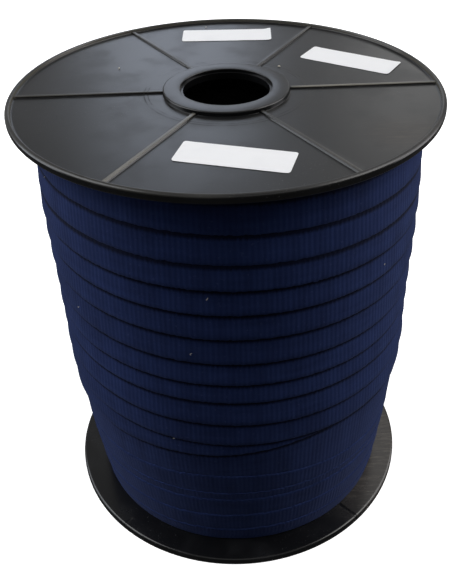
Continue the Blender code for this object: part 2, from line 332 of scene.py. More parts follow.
def tapeShader(tree):
    look = tapeLook
    place = tree.node("ShaderNodeTexCoord", {}, {}, "Object")
    weave = tree.node("ShaderNodeAttribute", {"attribute_name": "weave"}, {}, "Vector")
    along = tree.split(weave, "X")
    across = tree.split(weave, "Y")
    ribs = 0.5 + 0.5 * tree.cosine(tree.split(weave, "Z"))
    wobble = tree.noise(tree.scaled(weave, (900.0, 900.0, 0.0)), 1.0, 2.0)
    threads = tree.sine(across * (fullTurn / look["thread"]) + 3.0 * wobble)
    wefts = tree.sine(along * (fullTurn / look["weft"]) + 3.0 * wobble)
    cloth = 0.5 + 0.25 * threads + 0.25 * wefts
    lengths = tree.noise(tree.scaled(weave, (28.0, 260.0, 0.0)), 1.0, 3.0)
    patches = tree.noise(place, 30.0, 3.0)
    uneven = tree.noise(tree.scaled(weave, (95.0, 20.0, 0.0)), 1.0, 3.0, 0.6)
    # The ribs' crests are painted lighter and their grooves darker: partly wear, partly painted sheen on
    # the crests and painted shade in the grooves
    ribbed = ribs * tree.step(uneven, 0.30, 0.62)
    bright = 0.25 + 0.23 * ribbed + 0.20 * cloth + 0.7 * (lengths - 0.5) + 0.6 * (patches - 0.5)
    bright = tree.clamp(bright + 0.5 * (uneven - 0.5))
    color = tree.mixColor(bright, look["deep"], look["navy"])
    # Painted shadow: the tape is painted dark just below each covering edge, where the turn above shades
    # it. It fades out over the reach, and its edge is broken up by noise.
    tuck = tree.node("ShaderNodeAttribute", {"attribute_name": "tuck"}, {}, "Fac")
    fray = tree.noise(tree.scaled(weave, (700.0, 90.0, 0.0)), 1.0, 2.0) - 0.5
    frayed = tuck + look["fray"] * fray
    paintedEdgeShadow = 1.0 - tree.step(frayed, 0.36 * look["edgeShadowReach"], look["edgeShadowReach"])
    fluff = tree.step(tree.noise(place, 700.0, 3.0, 0.7), 0.60, 0.76)
    color = tree.mixColor(0.55 * fluff, color, look["pale"])
    color = tree.mixColor(look["edgeShadowStrength"] * paintedEdgeShadow, color, look["paintedEdgeShadow"])
    bumped = tree.bump(cloth, look["threadDepth"], 0.8)
    bumped = tree.bump(fluff, look["fluffDepth"], 0.5, bumped)
    return principled(tree, {
        "Base Color": color, "Roughness": 0.72 + 0.12 * (1.0 - ribs), "Normal": bumped,
        "Specular IOR Level": 0.12, "Sheen Weight": look["sheen"], "Sheen Roughness": 0.45,
        "Sheen Tint": look["sheenTint"],
    })


paperLook = {
    "color": (0.93, 0.93, 0.94, 1.0),
    "shade": (0.86, 0.865, 0.88, 1.0),
    "grain": 0.03 * mm,
}


def paperShader(tree):
    place = tree.node("ShaderNodeTexCoord", {}, {}, "Object")
    fibres = tree.noise(tree.scaled(place, (1.0, 2.2, 1.0)), 900.0, 4.0, 0.6)
    blotches = tree.noise(place, 70.0, 2.0)
    shaded = 0.4 * fibres + 0.5 * tree.step(blotches, 0.5, 0.8)
    color = tree.mixColor(shaded, paperLook["color"], paperLook["shade"])
    normal = tree.bump(fibres + 2.0 * blotches, paperLook["grain"])
    return principled(tree, {"Base Color": color, "Roughness": 0.60 - 0.1 * fibres, "Normal": normal})


lintLook = {"straw": (0.62, 0.56, 0.42, 1.0), "pale": (0.85, 0.82, 0.74, 1.0)}


def lintShader(tree):
    place = tree.node("ShaderNodeTexCoord", {}, {}, "Object")
    tones = tree.noise(place, 600.0, 2.0)
    color = tree.mixColor(tones, lintLook["straw"], lintLook["pale"])
    return principled(tree, {"Base Color": color, "Roughness": 0.85 + 0.1 * tones})


plastic = newMaterial("satin black plastic", plasticShader)
corePlastic = newMaterial("core tube plastic", coreShader)
ribbedTape = newMaterial("navy ribbed tape", tapeShader)
paper = newMaterial("white sticker paper", paperShader)
lintFibre = newMaterial("pale lint", lintShader)
print("materials made")


# The spool. Its face, the ribs' tops and the rim's crest stand higher than on the solids, and its
# other main sizes are theirs.

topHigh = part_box("flange_top")[1]
windingLow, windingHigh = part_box("winding")

collarProud = 0.9 * mm
spool = {
    "radius": topHigh.x,
    "height": topHigh.z - collarProud,
    "flangeDepth": 3.6 * mm,
    "faceDepth": 1.2 * mm,
    "rimInner": 97.7 * mm,
    "rimCove": (0.8 * mm, 0.6 * mm),
    "rimInnerRound": 0.5 * mm,
    "collarRadius": 29.4 * mm,
    "collarRound": 0.7 * mm,
    "boreRadius": 21.3 * mm,
    "boreRound": 0.4 * mm,
    "ledgeRadius": 20.2 * mm,
    "ledgeDrop": 1.5 * mm,
    "spigotRadius": 34.7 * mm,
    "spigotWall": 2.5 * mm,
    "spigotLength": 10.0 * mm,
    "spigotRoot": 0.5 * mm,
    "backMiddle": 70.0 * mm,
    "ringRadius": 38.0 * mm,
    "ringStep": 0.06 * mm,
    "ringSide": 0.6 * mm,
    "collarFoot": 0.15 * mm,
    "footEnd": 1.0 * mm,
    "coveStart": 0.5 * mm,
    "ribCount": 6,
    "ribStart": math.radians(0.9),
    "ribDepth": 0.35 * mm,
    "columnsBetweenRibs": 26,
}

# Sideways places of the columns over a rib, and how much of its height it has there
RibColumn = namedtuple("RibColumn", "aside height")
ribColumns = [
    RibColumn(0.0, 1.00), RibColumn(0.62 * mm, 0.99), RibColumn(0.84 * mm, 0.90),
    RibColumn(0.98 * mm, 0.60), RibColumn(1.08 * mm, 0.16), RibColumn(1.20 * mm, 0.03),
    RibColumn(1.50 * mm, 0.00),
]
ribSides = [RibColumn(-c.aside, c.height) for c in ribColumns[:0:-1]] + ribColumns


def finished(name, mesh, material, replaced=(), sharp=math.radians(35)):
    mesh.materials.clear()
    mesh.materials.append(material)
    mesh.shade_smooth()
    mesh.set_sharp_from_angle(angle=sharp)
    piece = bpy.data.objects.new(name, mesh)
    bpy.context.scene.collection.objects.link(piece)
    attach(piece, "root")
    if replaced:
        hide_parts(*replaced)


def meshFrom(name, points, faces):
    bm = bmesh.new()
    verts = [bm.verts.new(point) for point in points]
    for face in faces:
        bm.faces.new([verts[index] for index in face])
    bmesh.ops.recalc_face_normals(bm, faces=bm.faces)
    mesh = bpy.data.meshes.new(name)
    bm.to_mesh(mesh)
    bm.free()
    return mesh


def arcPoints(center, size, start, end, steps):
    turns = np.radians(np.linspace(start, end, steps + 1))
    return [(center[0] + size[0] * math.cos(t), center[1] + size[1] * math.sin(t)) for t in turns]


# The flanges: one section turned round, with the ribs raised out of its face

# What differs between the two flanges: the radius of the rim's crest and its rise above the nominal
# face, how deep the rim's outer round goes, the round of the edge next to the tape, and the collar
FlangeKind = namedtuple("FlangeKind", "crest crestRise rimDrop edgeRound collarDepth")
topKind = FlangeKind(98.3 * mm, 0.45 * mm, 0.9 * mm, (1.3 * mm, 1.5 * mm), -collarProud)
baseKind = FlangeKind(99.2 * mm, 0.0, 0.3 * mm, (1.9 * mm, 2.2 * mm), 0.0)


def flangeSection(kind):
    s = spool
    rimInner, collarDepth = s["rimInner"], kind.collarDepth
    bore, collar = s["boreRadius"], s["collarRadius"]
    face, foot = s["faceDepth"], s["collarFoot"]
    plate = face + s["ringStep"]
    ring, ringSide = s["ringRadius"], s["ringSide"]
    boreRound, collarRound = s["boreRound"], s["collarRound"]
    coveWidth, coveHeight = s["rimCove"]
    hub = arcPoints((bore + boreRound, collarDepth + boreRound), (boreRound,) * 2, 180, 270, 3)
    hub += [(0.5 * (bore + collar), collarDepth)]
    hub += arcPoints((collar - collarRound, collarDepth + collarRound), (collarRound,) * 2, 270, 360, 5)
    dish = arcPoints((collar + foot, face - foot), (foot,) * 2, 180, 90, 3)
    dish += [(radius, face) for radius in np.linspace(collar + s["footEnd"], ring - ringSide, 4)]
    dish += [(ring, face + 0.5 * s["ringStep"])]
    dishEnd = rimInner - coveWidth
    dish += [(radius, plate) for radius in np.linspace(ring + ringSide, dishEnd - s["coveStart"], 12)]
    dish += arcPoints((dishEnd, plate - coveHeight), s["rimCove"], 90, 0, 7)
    crest, innerRound = kind.crest, s["rimInnerRound"]
    innerSize = (crest - rimInner, innerRound + kind.crestRise)
    outerSize = (s["radius"] - crest, kind.rimDrop + kind.crestRise)
    rim = arcPoints((crest, innerRound), innerSize, 180, 270, 5)
    rim += arcPoints((crest, kind.rimDrop), outerSize, -90, 0, 8)[1:]
    depth, spigot, ledge = s["flangeDepth"], s["spigotRadius"], s["ledgeRadius"]
    edgeCenter = (s["radius"] - kind.edgeRound[0], depth - kind.edgeRound[1])
    end = depth + s["spigotLength"]
    inner = spigot - s["spigotWall"]
    ledgeDepth = collarDepth + s["ledgeDrop"]
    tapeSide = arcPoints(edgeCenter, kind.edgeRound, 0, 90, 9)
    tapeSide += [(s["backMiddle"], depth), (spigot + s["spigotRoot"], depth)]
    tapeSide += [(spigot, depth + s["spigotRoot"]), (spigot, end), (inner, end), (inner, depth)]
    tapeSide += [(ledge, depth), (ledge, ledgeDepth), (bore, ledgeDepth)]
    ribbed = [False] * len(hub) + [True] * len(dish) + [False] * len(rim + tapeSide)
    return hub + dish + rim + tapeSide, ribbed


def ringFaces(rows, columns):  # the quads of a section turned round and closed on itself
    faces = []
    for row in range(rows):
        here = row * columns
        below = (row + 1) % rows * columns
        for column in range(columns):
            right = (column + 1) % columns
            faces.append((here + column, here + right, below + right, below + column))
    return faces


def flangeMesh(name, heightAt, kind):
    section, ribbed = flangeSection(kind)
    s = spool
    sector = fullTurn / s["ribCount"]
    plateDepth = s["faceDepth"] + s["ringStep"]
    points = []
    columns = s["ribCount"] * (len(ribSides) + s["columnsBetweenRibs"])
    for (radius, depth), raised in zip(section, ribbed):
        for rib in range(s["ribCount"]):
            middle = s["ribStart"] + rib * sector
            turns = [(middle + math.asin(c.aside / radius), c.height) for c in ribSides]
            reach = math.asin(ribSides[-1].aside / radius)
            between = np.linspace(middle + reach, middle + sector - reach, s["columnsBetweenRibs"] + 2)
            turns += [(turn, 0.0) for turn in between[1:-1]]
            for turn, height in turns:
                ribDepth = plateDepth + height * (s["ribDepth"] - plateDepth)
                placed = min(depth, ribDepth) if raised and height > 0 else depth
                points.append((radius * math.cos(turn), radius * math.sin(turn), heightAt(placed)))
    return meshFrom(name, points, ringFaces(len(section), columns))


topMesh = flangeMesh("topFlange", lambda depth: spool["height"] - depth, topKind)
baseMesh = flangeMesh("bottomFlange", lambda depth: depth, baseKind)
finished("topFlange", topMesh, plastic, ["flange_top"])
finished("bottomFlange", baseMesh, plastic, ["flange_bottom"])
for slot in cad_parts["core"].material_slots:
    slot.material = corePlastic
print("spool made")


# The tape: its upper turns follow the same edges as the solid's

tape = {
    "width": 25.0 * mm,
    "thickness": 1.1 * mm,
    "clearance": 0.03 * mm,
    "windingRadius": 91.9 * mm,
    "lean": 0.8 * mm,
    "front": -90.0,
    "ribAngle": 1.4493,
    "columnsPerRib": 4,
    "ribHeight": 0.105 * mm,
    "edgeWave": 0.20 * mm,
    "lowerEdgeWave": 0.42 * mm,
    "unevenness": 0.16 * mm,
    "hiddenSlope": 0.095,
    "steepest": 0.10,
    "leastRise": 0.01 * mm,
    "proudShare": 0.6,
    "passUnder": 2.0 * mm,
    "sideSag": 7.0 * mm,
    # how far below the lowest edge the painted shadow on the lower turns starts
    "shadowEdgeDrop": 0.7 * mm,
    "top": windingHigh.z,
    "base": windingLow.z,
}

# Lower edge of each upper turn as it passes the front, from the top down, and how far it swells
UpperTurn = namedtuple("UpperTurn", "edgeZ swell")
upperTurns = [
    UpperTurn(0.2385, -0.0022), UpperTurn(0.2247, -0.0020), UpperTurn(0.2103, -0.0010),
    UpperTurn(0.1966, 0.0001), UpperTurn(0.1842, -0.0001), UpperTurn(0.1716, 0.0002),
    UpperTurn(0.1583, 0.0001), UpperTurn(0.1439, 0.0000), UpperTurn(0.1312, 0.0002),
    UpperTurn(0.1199, 0.0005), UpperTurn(0.1056, 0.0010), UpperTurn(0.0916, 0.0006),
    UpperTurn(0.0760, 0.0000), UpperTurn(0.0600, 0.0000),
]

# The lowest edge, where the winding turned back up
LowestEdge = namedtuple("LowestEdge", "angle z")
lowestEdge = [
    LowestEdge(-155, 0.0795), LowestEdge(-134, 0.0799), LowestEdge(-112, 0.0817),
    LowestEdge(-97, 0.0829), LowestEdge(-84, 0.0853), LowestEdge(-71, 0.0875),
    LowestEdge(-60, 0.0888), LowestEdge(-44, 0.0880), LowestEdge(-20, 0.0835),
    LowestEdge(30, 0.0815), LowestEdge(100, 0.0810), LowestEdge(160, 0.0800),
]

# Upper edge of the lower turns by turns past the front: its height, and how far it stands proud.
# It climbs fast at the end, and passes under the lowest edge.
LowerEdge = namedtuple("LowerEdge", "turns z proud")
lowerEdges = [
    LowerEdge(0.0, -0.0290, 0.22 * mm), LowerEdge(1.0, -0.0145, 0.22 * mm),
    LowerEdge(2.0, 0.0005, 0.22 * mm), LowerEdge(3.0, 0.0150, 0.20 * mm),
    LowerEdge(4.0, 0.0295, 0.22 * mm), LowerEdge(5.0, 0.0445, 0.22 * mm),
    LowerEdge(6.0, 0.0505, 0.20 * mm), LowerEdge(6.6, 0.0560, 0.18 * mm),
    LowerEdge(6.86, 0.0625, 0.16 * mm), LowerEdge(7.0, 0.0655, 0.16 * mm),
    LowerEdge(7.1, 0.0625, 0.16 * mm), LowerEdge(7.25, 0.0620, 0.14 * mm),
    LowerEdge(7.55, 0.0760, 0.10 * mm), LowerEdge(8.0, 0.1000, 0.0),
    LowerEdge(9.0, 0.1400, 0.0),
]

# The lower turns draw in towards the base
LowerGirth = namedtuple("LowerGirth", "z radius")
lowerGirth = [
    LowerGirth(0.0035, 0.0858), LowerGirth(0.0200, 0.0876), LowerGirth(0.0350, 0.0889),
    LowerGirth(0.0530, 0.0903), LowerGirth(0.0700, 0.0914), LowerGirth(0.0900, 0.0919),
]

# The tape's section: place across it (0 exposed edge, 0.5 where the next turn covers it, 1 hidden
# edge), depth from its outer face (0) to its inner one (1), and shift in from the exposed edge
SectionPoint = namedtuple("SectionPoint", "across skin shift")
sectionPoints = [
    SectionPoint(0.00, 0.00, 0.50 * mm), SectionPoint(0.10, 0.00, 0.0),
    SectionPoint(0.23, 0.00, 0.0), SectionPoint(0.36, 0.00, 0.0),
    SectionPoint(0.45, 0.00, 0.0), SectionPoint(0.50, 0.00, 0.0),
    SectionPoint(1.00, 0.00, 0.0), SectionPoint(1.00, 1.00, 0.0),
    SectionPoint(0.50, 1.00, 0.0), SectionPoint(0.00, 1.00, 0.40 * mm),
    SectionPoint(0.00, 0.80, 0.10 * mm), SectionPoint(0.00, 0.45, 0.0),
    SectionPoint(0.00, 0.12, 0.15 * mm),
]


def smoothThrough(x, xs, ys):  # a cubic through the points, with the slope of its neighbours at each
    xs, ys = np.asarray(xs, float), np.asarray(ys, float)
    slopes = np.gradient(ys, xs)
    index = np.clip(np.searchsorted(xs, x) - 1, 0, len(xs) - 2)
    span = xs[index + 1] - xs[index]
    t = np.clip((x - xs[index]) / span, 0.0, 1.0)
    start = (1 + 2 * t) * (1 - t) ** 2 * ys[index] + t * (1 - t) ** 2 * span * slopes[index]
    return start + t * t * (3 - 2 * t) * ys[index + 1] - t * t * (1 - t) * span * slopes[index + 1]


def lowestZ(angle):
    xs = [point.angle + turn for turn in (-360, 0, 360) for point in lowestEdge]
    ys = [point.z for _ in range(3) for point in lowestEdge]
    first = lowestEdge[0].angle
    return smoothThrough((angle - first) % 360.0 + first, xs, ys)


def leanAt(angle):
    return tape["lean"] * np.cos(np.radians(angle))


def upperPath(angle):  # the tape's edges at each angle, in degrees that run on from turn to turn
    turns = tape["front"] + 360.0 * np.arange(len(upperTurns))
    heights = [turn.edgeZ for turn in upperTurns]
    swells = [turn.swell for turn in upperTurns]
    thickness = tape["thickness"]

    def edgeRadius(at):
        return tape["windingRadius"] + thickness + leanAt(at) + smoothThrough(at, turns, swells)

    lowest = lowestZ(angle)
    edgeZ = np.maximum(smoothThrough(angle, turns, heights), lowest)
    aboveZ = np.maximum(smoothThrough(angle - 360.0, turns, heights), lowest)
    aboveZ = np.where(angle - 360.0 < turns[0], heights[0], aboveZ)
    aboveRadius = edgeRadius(angle - 360.0) - thickness - tape["clearance"]
    rise = np.maximum(aboveZ - edgeZ, tape["leastRise"])
    edgeR = np.minimum(edgeRadius(angle), aboveRadius + tape["steepest"] * rise)
    slope = (edgeR - aboveRadius) / rise
    coverZ = np.minimum(aboveZ, tape["top"])
    coverR = edgeR - slope * (coverZ - edgeZ)
    endZ = np.minimum(np.maximum(edgeZ + tape["width"], coverZ), tape["top"])
    endR = coverR - tape["hiddenSlope"] * (endZ - coverZ)
    return {
        "edgeZ": edgeZ, "edgeR": edgeR, "coverZ": coverZ, "coverR": coverR, "endZ": endZ, "endR": endR,
        # the painted shadow under each turn starts at its covering edge
        "thick": np.full_like(angle, thickness), "eavesZ": coverZ,
    }


def lowerPath(angle):
    turns = [tape["front"] + 360.0 * edge.turns for edge in lowerEdges]
    heights = [edge.z for edge in lowerEdges]
    prouds = [edge.proud for edge in lowerEdges]
    girthZ = [row.z for row in lowerGirth]
    girthRadius = [row.radius for row in lowerGirth]
    lowest = lowestZ(angle)
    proudShare = tape["proudShare"]

    def surface(z):
        return smoothThrough(z, girthZ, girthRadius) + leanAt(angle)

    sag = tape["sideSag"] * np.cos(np.radians(angle)) ** 2
    edgeZ = smoothThrough(angle, turns, heights) - sag
    belowZ = smoothThrough(angle - 360.0, turns, heights) - sag
    belowZ = np.where(angle - 360.0 < turns[0], heights[0], belowZ)
    proud = smoothThrough(angle, turns, prouds)
    belowProud = smoothThrough(angle - 360.0, turns, prouds)
    edgeZ = np.minimum(edgeZ, lowest + tape["passUnder"])
    coverZ = np.clip(belowZ, tape["base"], edgeZ)
    coverR = surface(coverZ) - (1.0 - proudShare) * belowProud - tape["clearance"]
    edgeR = surface(edgeZ) + proudShare * proud
    endZ = np.clip(edgeZ - tape["width"], tape["base"], coverZ)
    endR = coverR - tape["hiddenSlope"] * (coverZ - endZ)
    edgeZ = np.maximum(edgeZ, tape["base"])
    return {
        "edgeZ": edgeZ, "edgeR": edgeR, "coverZ": coverZ, "coverR": coverR, "endZ": endZ, "endR": endR,
        # the painted shadow on the lower turns starts a little below the lowest edge
        "thick": np.full_like(angle, tape["thickness"]), "eavesZ": lowest - tape["shadowEdgeDrop"],
    }


def chainObject(name, points, attributes, cyclic):
    mesh = bpy.data.meshes.new(name)
    count = len(points)
    links = [(i, i + 1) for i in range(count - 1)] + ([(count - 1, 0)] if cyclic else [])
    mesh.from_pydata([tuple(point) for point in points], links, [])
    for key, values in attributes.items():
        layer = mesh.attributes.new(key, "FLOAT", "POINT")
        layer.data.foreach_set("value", np.asarray(values, np.float32))
    chain = bpy.data.objects.new(name, mesh)
    bpy.context.scene.collection.objects.link(chain)
    return chain


def newGroup(name, sockets):
    group = bpy.data.node_groups.new(name, "GeometryNodeTree")
    group.interface.new_socket("Geometry", in_out="OUTPUT", socket_type="NodeSocketGeometry")
    group.interface.new_socket("Geometry", in_out="INPUT", socket_type="NodeSocketGeometry")
    for label, kind in sockets:
        group.interface.new_socket(label, in_out="INPUT", socket_type="NodeSocket" + kind)
    return group


def windTree():
    group = newGroup("wound tape", [
        ("Section", "Object"), ("Rib Angle", "Float"), ("Rib Height", "Float"), ("Edge Wave", "Float"),
        ("Unevenness", "Float"), ("Hidden Side", "Float"), ("Seed", "Float"), ("Material", "Material"),
    ])
    tree = Tree(group)
    groupInput = group.nodes.new("NodeGroupInput")
    given = {socket.name: Wire(tree, socket) for socket in groupInput.outputs if socket.name}

    def read(name):
        return tree.node("GeometryNodeInputNamedAttribute", {"data_type": "FLOAT"}, {"Name": name})

    def drift(scale, offset):  # slow noise along the tape, about -1 to 1
        inputs = {"W": angle * scale + given["Seed"] + offset, "Scale": 1.0, "Detail": 2.0}
        return 4.0 * (tree.node("ShaderNodeTexNoise", {"noise_dimensions": "1D"}, inputs) - 0.5)

    path = tree.node("GeometryNodeMeshToCurve", {}, {"Mesh": given["Geometry"]})
    section = tree.node("GeometryNodeObjectInfo", {}, {"Object": given["Section"]}, "Geometry")
    section = tree.node("GeometryNodeMeshToCurve", {}, {"Mesh": section})
    inputs = {"Curve": path, "Profile Curve": section, "Fill Caps": True}
    swept = tree.node("GeometryNodeCurveToMesh", {}, inputs)

    angle = read("angle")
    across, skin, shift = read("across"), read("skin"), read("shift")
    toCover = tree.clamp(across * 2.0)
    toEnd = tree.clamp(across * 2.0 - 1.0)
    openSide = 1.0 - toCover
    phase = angle * (360.0 / fullTurn) / given["Rib Angle"] * fullTurn
    ribs = 0.5 + 0.5 * tree.cosine(phase)
    wave = given["Edge Wave"] * (drift(26.0, 3.0) + 0.9 * drift(80.0, 7.0) + 0.7 * ribs)
    inward = shift + wave * openSide
    z = read("edgeZ") + (read("coverZ") - read("edgeZ")) * toCover
    z = z + (read("endZ") - read("coverZ")) * toEnd + given["Hidden Side"] * inward
    radius = read("edgeR") + (read("coverR") - read("edgeR")) * toCover
    radius = radius + (read("endR") - read("coverR")) * toEnd - skin * read("thick")
    radius = radius + given["Unevenness"] * openSide * drift(2.2, 11.0)
    radius = radius + given["Rib Height"] * ribs * (1.0 - skin) * (1.0 - toEnd)
    place = tree.join(radius * tree.cosine(angle), radius * tree.sine(angle), z)
    placed = tree.node("GeometryNodeSetPosition", {}, {"Geometry": swept, "Position": place})
    fromEdge = shift + (read("coverZ") - read("edgeZ")) * given["Hidden Side"] * toCover
    weave = tree.join(angle * read("edgeR"), fromEdge, phase)
    inputs = {"Geometry": placed, "Name": "weave", "Value": weave}
    stored = tree.node("GeometryNodeStoreNamedAttribute", {"data_type": "FLOAT_VECTOR"}, inputs)
    # The height below the covering edge, from which the tape's material paints its shadow
    inputs = {"Geometry": stored, "Name": "tuck", "Value": read("eavesZ") - z}
    stored = tree.node("GeometryNodeStoreNamedAttribute", {"data_type": "FLOAT"}, inputs)
    real = tree.node("GeometryNodeRealizeInstances", {}, {"Geometry": stored})
    inputs = {"Geometry": real, "Material": given["Material"]}
    painted = tree.node("GeometryNodeSetMaterial", {}, inputs)
    tree.node("NodeGroupOutput", {}, {"Geometry": painted})
    return group


def grown(source, group, values):  # the modifier's result as a plain mesh
    modifier = source.modifiers.new("grow", "NODES")
    modifier.node_group = group
    for item in group.interface.items_tree:
        if item.item_type == "SOCKET" and item.in_out == "INPUT" and item.name in values:
            modifier[item.identifier] = values[item.name]
    bpy.context.view_layer.update()
    graph = bpy.context.evaluated_depsgraph_get()
    mesh = bpy.data.meshes.new_from_object(source.evaluated_get(graph), depsgraph=graph)
    source.modifiers.remove(modifier)
    return mesh


# Rough shapes that only carry the attributes: the tree puts every point in its place
roughHelix = {"radius": 0.1, "climb": 0.01}
roughLoop = {"radius": 1.0 * mm, "end": 5.5}

# How narrow the shown band is where a run starts or ends, the angle past which its end is looked for,
# and the angle that parts the upper run into two pieces
tapeEnds = {
    "upperStart": 0.5 * mm, "upperEnd": 0.4 * mm, "upperEndFrom": 3000.0,
    "lowerStart": 0.5 * mm, "lowerEnd": 0.3 * mm, "lowerEndFrom": 2700.0,
    "split": 90.0 + 360.0 * 6,
}
TapeRun = namedtuple("TapeRun", "name pathAt start end hiddenSide edgeWave seed")


def tapePiece(run, group, section):
    step = tape["ribAngle"] / tape["columnsPerRib"]
    angles = np.arange(round(run.start / step), round(run.end / step) + 1) * step
    turn = np.radians(angles)
    rows = run.pathAt(angles)
    rows["angle"] = turn
    radius, climb = roughHelix["radius"], roughHelix["climb"]
    points = np.stack([radius * np.cos(turn), radius * np.sin(turn), climb * turn], axis=1)
    path = chainObject(run.name + "Path", points, rows, cyclic=False)
    mesh = grown(path, group, {
        "Section": section, "Rib Angle": tape["ribAngle"], "Rib Height": tape["ribHeight"],
        "Edge Wave": run.edgeWave, "Unevenness": tape["unevenness"], "Hidden Side": run.hiddenSide,
        "Seed": run.seed, "Material": ribbedTape,
    })
    mesh.name = run.name
    bm = bmesh.new()
    bm.from_mesh(mesh)
    bmesh.ops.recalc_face_normals(bm, faces=bm.faces)
    bm.to_mesh(mesh)
    bm.free()
    spent = set(rows) | set(SectionPoint._fields)
    for layer in [item.name for item in mesh.attributes if item.name in spent]:
        mesh.attributes.remove(mesh.attributes[layer])
    bpy.data.objects.remove(path)
    finished(run.name, mesh, ribbedTape, ["winding"], math.radians(50))
    print(run.name, len(mesh.polygons), "faces")


def firstAngle(angles, test):
    return float(angles[np.argmax(test)])


def upperEnds():  # where the upper tape comes out from the top flange, and where it runs out
    angles = np.arange(tape["front"], tape["front"] + 360.0 * (len(upperTurns) - 1), 1.0)
    rows = upperPath(angles)
    start = firstAngle(angles, rows["edgeZ"] < tape["top"] - tapeEnds["upperStart"])
    narrow = rows["coverZ"] - rows["edgeZ"] < tapeEnds["upperEnd"]
    return start, firstAngle(angles, narrow & (angles > tapeEnds["upperEndFrom"]))


def lowerEnds():
    angles = np.arange(tape["front"], tape["front"] + 360.0 * lowerEdges[-1].turns, 1.0)
    rows = lowerPath(angles)
    start = firstAngle(angles, rows["edgeZ"] > tape["base"] + tapeEnds["lowerStart"])
    narrow = rows["edgeZ"] - rows["coverZ"] < tapeEnds["lowerEnd"]
    return start, firstAngle(angles, narrow & (angles > tapeEnds["lowerEndFrom"]))


wind = windTree()
loopRadius = roughLoop["radius"]
loopTurns = np.linspace(0.0, roughLoop["end"], len(sectionPoints))
sectionChain = chainObject(
    "tapeSection",
    [(loopRadius * math.cos(turn), loopRadius * math.sin(turn), 0.0) for turn in loopTurns],
    {key: [getattr(point, key) for point in sectionPoints] for key in SectionPoint._fields},
    cyclic=True,
)
upperStart, upperEnd = upperEnds()
lowerStart, lowerEnd = lowerEnds()
split, edgeWave, lowerWave = tapeEnds["split"], tape["edgeWave"], tape["lowerEdgeWave"]
tapeRuns = [
    TapeRun("upperTape", upperPath, upperStart, split, 1.0, edgeWave, 1.0),
    TapeRun("middleTape", upperPath, split, upperEnd, 1.0, edgeWave, 1.0),
    TapeRun("lowerTape", lowerPath, lowerStart, lowerEnd, -1.0, lowerWave, 2.0),
]
for run in tapeRuns:
    tapePiece(run, wind, sectionChain)
bpy.data.objects.remove(sectionChain)
print("tape wound")


# The older turns under the visible ones: a plain wound body with flat ends

innerTurns = {"boreRadius": 37.8 * mm, "depth": 2.6 * mm, "columns": 180}


def innerBody():
    bore, depth, count = innerTurns["boreRadius"], innerTurns["depth"], innerTurns["columns"]
    rows = [(row.radius - depth, max(row.z, tape["base"])) for row in lowerGirth]
    rows += [(tape["windingRadius"] - depth, tape["top"])]
    section = [(bore, tape["base"])] + rows + [(bore, tape["top"])]
    points = []
    for radius, z in section:
        for column in range(count):
            turn = fullTurn * column / count
            lean = tape["lean"] * math.cos(turn) if radius > bore else 0.0
            points.append(((radius + lean) * math.cos(turn), (radius + lean) * math.sin(turn), z))
    return meshFrom("innerTape", points, ringFaces(len(section), count))


finished("innerTape", innerBody(), ribbedTape, ["winding"])


# Bare paper stickers on the top face, whose ends lift a little

sticker = {
    "length": 47.8 * mm,
    "width": 17.6 * mm,
    "corner": 1.5 * mm,
    "thickness": 0.12 * mm,
    "rowsAcross": 14,
    "rowsAlong": 40,
    "gap": 0.03 * mm,
    "ripple": 0.02 * mm,
    "flatShare": 0.80,
}

# The lift is in millimetres, of the left end and of the right end
StickerPlace = namedtuple("StickerPlace", "name node x y turn lift")
stickerPlaces = [
    StickerPlace("nearSticker", "label_near", 2.5 * mm, -66.8 * mm, -16.5, (0.25, 0.12)),
    StickerPlace("farSticker", "label_far", 1.3 * mm, 76.0 * mm, -1.5, (0.15, 0.9)),
    StickerPlace("rightSticker", "label_right", 62.3 * mm, 33.8 * mm, -32.7, (0.3, 0.35)),
]


def liftAt(share, cross, lift):  # share runs from -1 to 1 along the sticker, cross likewise across it
    flat = sticker["flatShare"]
    left = lift[0] * mm * max(-share - flat, 0.0) ** 2
    right = lift[1] * mm * max(share - flat, 0.0) ** 2
    return (left + right) / (1.0 - flat) ** 2 * (0.6 + 0.4 * cross)


def stickerMesh(place):
    s = sticker
    base = spool["height"] - spool["faceDepth"] + s["gap"]
    turn = math.radians(place.turn)
    layers = [[], []]
    ease = 0.5 - 0.5 * np.cos(np.linspace(0.0, math.pi, s["rowsAcross"]))
    for across in (ease - 0.5) * s["width"]:
        over = max(abs(across) - (0.5 * s["width"] - s["corner"]), 0.0)
        half = 0.5 * s["length"] - s["corner"] + math.sqrt(max(s["corner"] ** 2 - over ** 2, 0.0))
        for along in np.linspace(-half, half, s["rowsAlong"]):
            share = along / (0.5 * s["length"])
            cross = across / (0.5 * s["width"])
            ripple = s["ripple"] * math.sin(9.0 * share + 2.0 * cross)
            x = place.x + along * math.cos(turn) - across * math.sin(turn)
            y = place.y + along * math.sin(turn) + across * math.cos(turn)
            z = base + max(liftAt(share, cross, place.lift) + ripple, 0.0)
            layers[0].append((x, y, z))
            layers[1].append((x, y, z + s["thickness"]))
    rows, columns = s["rowsAcross"], s["rowsAlong"]
    count = rows * columns
    faces = []
    for row in range(rows - 1):
        for column in range(columns - 1):
            corner = row * columns + column
            quad = (corner, corner + 1, corner + columns + 1, corner + columns)
            faces.append(quad)
            faces.append(tuple(index + count for index in reversed(quad)))
    rim = list(range(columns))
    rim += [row * columns + columns - 1 for row in range(1, rows)]
    rim += [(rows - 1) * columns + column for column in range(columns - 2, -1, -1)]
    rim += [row * columns for row in range(rows - 2, 0, -1)]
    for first, second in zip(rim, rim[1:] + rim[:1]):
        faces.append((second, first, first + count, second + count))
    return meshFrom(place.name, layers[0] + layers[1], faces)


for place in stickerPlaces:
    finished(place.name, stickerMesh(place), paper, [place.node], math.radians(50))
print("stickers made")


# Lint caught on the tape and the top face

